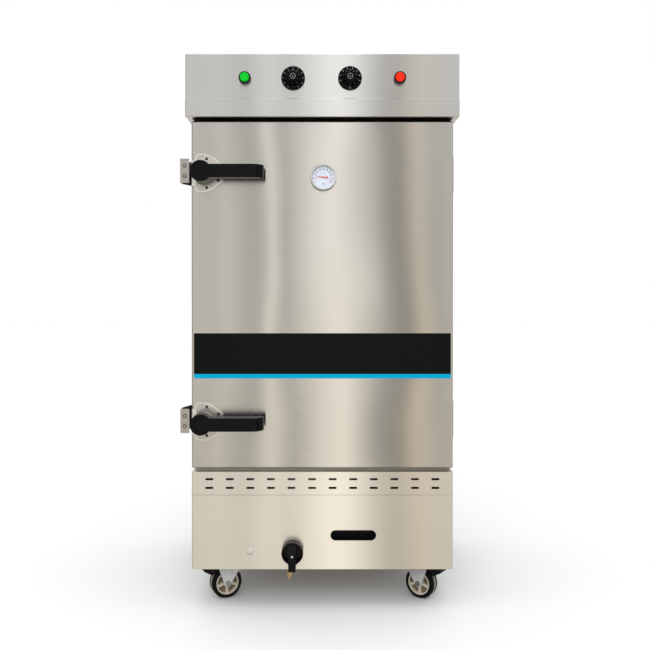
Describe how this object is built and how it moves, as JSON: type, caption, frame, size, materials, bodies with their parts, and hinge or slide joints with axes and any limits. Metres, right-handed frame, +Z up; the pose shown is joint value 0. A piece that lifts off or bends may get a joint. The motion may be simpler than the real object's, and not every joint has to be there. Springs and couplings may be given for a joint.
{
  "type": "rice steamer cabinet",
  "caption": "Upright steam cabinet on swivel casters, with an insulated hinged door, lever latches, tray rails over a water tank, a drain cock and a knob-and-lamp control header.",
  "frame": {"origin": "on the floor under the centre of the base compartment", "axes": "+Z up, -Y out of the door, +X to the right seen from the door side"},
  "size_m": [0.717, 0.7527, 1.4385],
  "materials": {
    "cabinet_steel": "brushed stainless sheet, horizontal grain",
    "liner_steel": "satin stainless sheet",
    "zinc_steel": "zinc plated steel",
    "bright_steel": "polished steel",
    "cast_latch": "satin plated casting",
    "band_film": "gloss printed film, black with a cyan lower stripe",
    "black_plastic": "moulded black plastic",
    "grey_plastic": "moulded grey plastic",
    "hub_plastic": "moulded cream nylon and black rubber",
    "green_lens": "translucent green lens",
    "red_lens": "translucent red lens",
    "clear_glass": "clear flat glass",
    "dial_white": "white printed dial",
    "needle_red": "red lacquer",
    "yellow_brass": "cast brass",
    "gasket_rubber": "grey silicone",
    "foam": "mineral wool blanket"
  },
  "bodies": {
    "cabinet": {"side_panel_left": "cabinet_steel", "side_panel_right": "cabinet_steel", "back_panel": "cabinet_steel", "liner_wrap": "liner_steel", "liner_top": "liner_steel", "wall_insulation": "foam", "door_frame": "liner_steel", "tray_rack_left": "liner_steel", "tray_rack_right": "liner_steel", "steam_cover": "liner_steel", "water_tank": "liner_steel", "heating_elements": "liner_steel", "terminal_box": "zinc_steel", "float_box": "grey_plastic", "water_inlet": "yellow_brass", "vent_panel": "cabinet_steel", "base_front_panel": "cabinet_steel", "base_floor": "cabinet_steel", "hole_plug": "grey_plastic", "cock_body": "yellow_brass", "strike_brackets": "bright_steel", "hinge_body_leaves": "bright_steel", "caster_plates": "zinc_steel", "header_deck": "cabinet_steel", "header_casing": "cabinet_steel", "control_panel": "cabinet_steel", "header_brow": "cabinet_steel", "lamp_bezels": "black_plastic", "running_lamp_lens": "green_lens", "power_lamp_lens": "red_lens", "control_gear": "black_plastic", "steam_vent": "liner_steel", "cable_gland": "black_plastic"},
    "door": {"door_skin": "cabinet_steel", "door_liner": "liner_steel", "door_insulation": "foam", "door_gasket": "gasket_rubber", "door_band": "band_film", "thermometer_case": "bright_steel", "thermometer_dial": "dial_white", "thermometer_glass": "clear_glass", "latch_bases": "cast_latch", "hinge_door_leaves": "bright_steel"},
    "needle": {"thermometer_needle": "needle_red"},
    "upper_latch": {"latch_handle_upper": "black_plastic"},
    "lower_latch": {"latch_handle_lower": "black_plastic"},
    "timer": {"timer_knob": "black_plastic"},
    "thermostat": {"thermostat_knob": "black_plastic"},
    "cock": {"cock_handle": "black_plastic"},
    "float": {"float_arm": "yellow_brass"},
    "fork_front_left": {"caster_fork_front_left": "zinc_steel"},
    "wheel_front_left": {"caster_wheel_front_left": "hub_plastic"},
    "pedal_front_left": {"brake_pedal_front_left": "black_plastic"},
    "fork_front_right": {"caster_fork_front_right": "zinc_steel"},
    "wheel_front_right": {"caster_wheel_front_right": "hub_plastic"},
    "pedal_front_right": {"brake_pedal_front_right": "black_plastic"},
    "fork_rear_left": {"caster_fork_rear_left": "zinc_steel"},
    "wheel_rear_left": {"caster_wheel_rear_left": "hub_plastic"},
    "fork_rear_right": {"caster_fork_rear_right": "zinc_steel"},
    "wheel_rear_right": {"caster_wheel_rear_right": "hub_plastic"}
  },
  "joints": [
    {"name": "door_hinge", "type": "hinge", "parent": "cabinet", "child": "door", "pos_m": [0.3443, -0.252, 0.8185], "axis": [0, 0, 1], "range_deg": [0, 178]},
    {"name": "needle_spin", "type": "hinge", "parent": "door", "child": "needle", "pos_m": [0.0028, -0.31, 1.123], "axis": [0, 1, 0], "range_deg": [-50, 200]},
    {"name": "upper_latch_turn", "type": "hinge", "parent": "door", "child": "upper_latch", "pos_m": [-0.3082, -0.33, 1.1335], "axis": [0, 1, 0], "range_deg": [0, 90]},
    {"name": "lower_latch_turn", "type": "hinge", "parent": "door", "child": "lower_latch", "pos_m": [-0.3082, -0.33, 0.491], "axis": [0, 1, 0], "range_deg": [0, 90]},
    {"name": "timer_turn", "type": "hinge", "parent": "cabinet", "child": "timer", "pos_m": [-0.075, -0.33, 1.3755], "axis": [0, 1, 0], "range_deg": [0, 300]},
    {"name": "thermostat_turn", "type": "hinge", "parent": "cabinet", "child": "thermostat", "pos_m": [0.071, -0.33, 1.3755], "axis": [0, 1, 0], "range_deg": [0, 270]},
    {"name": "cock_turn", "type": "hinge", "parent": "cabinet", "child": "cock", "pos_m": [-0.0775, -0.31, 0.1523], "axis": [0, 1, 0], "range_deg": [0, 90]},
    {"name": "float_swing", "type": "hinge", "parent": "cabinet", "child": "float", "pos_m": [-0.0738, 0.343, 0.371], "axis": [0, 1, 0], "range_deg": [-16, 0]},
    {"name": "swivel_front_left", "type": "hinge", "parent": "cabinet", "child": "fork_front_left", "pos_m": [-0.242, -0.201, 0.09], "axis": [0, 0, 1], "continuous": true},
    {"name": "roll_front_left", "type": "hinge", "parent": "fork_front_left", "child": "wheel_front_left", "pos_m": [-0.26194, -0.2103, 0.0415], "axis": [-0.4226, 0.9063, 0], "continuous": true},
    {"name": "brake_front_left", "type": "hinge", "parent": "fork_front_left", "child": "pedal_front_left", "pos_m": [-0.27281, -0.21537, 0.088], "axis": [0.4226, -0.9063, 0], "range_deg": [0, 10]},
    {"name": "swivel_front_right", "type": "hinge", "parent": "cabinet", "child": "fork_front_right", "pos_m": [0.25, -0.201, 0.09], "axis": [0, 0, 1], "continuous": true},
    {"name": "roll_front_right", "type": "hinge", "parent": "fork_front_right", "child": "wheel_front_right", "pos_m": [0.26824, -0.2133, 0.0415], "axis": [-0.5592, -0.829, 0], "continuous": true},
    {"name": "brake_front_right", "type": "hinge", "parent": "fork_front_right", "child": "pedal_front_right", "pos_m": [0.27819, -0.22001, 0.088], "axis": [0.5592, 0.829, 0], "range_deg": [0, 10]},
    {"name": "swivel_rear_left", "type": "hinge", "parent": "cabinet", "child": "fork_rear_left", "pos_m": [-0.242, 0.201, 0.09], "axis": [0, 0, 1], "continuous": true},
    {"name": "roll_rear_left", "type": "hinge", "parent": "fork_rear_left", "child": "wheel_rear_left", "pos_m": [-0.26267, 0.20852, 0.0415], "axis": [0.342, 0.9397, 0], "continuous": true},
    {"name": "swivel_rear_right", "type": "hinge", "parent": "cabinet", "child": "fork_rear_right", "pos_m": [0.25, 0.201, 0.09], "axis": [0, 0, 1], "continuous": true},
    {"name": "roll_rear_right", "type": "hinge", "parent": "fork_rear_right", "child": "wheel_rear_right", "pos_m": [0.27067, 0.20852, 0.0415], "axis": [0.342, -0.9397, 0], "continuous": true}
  ]
}
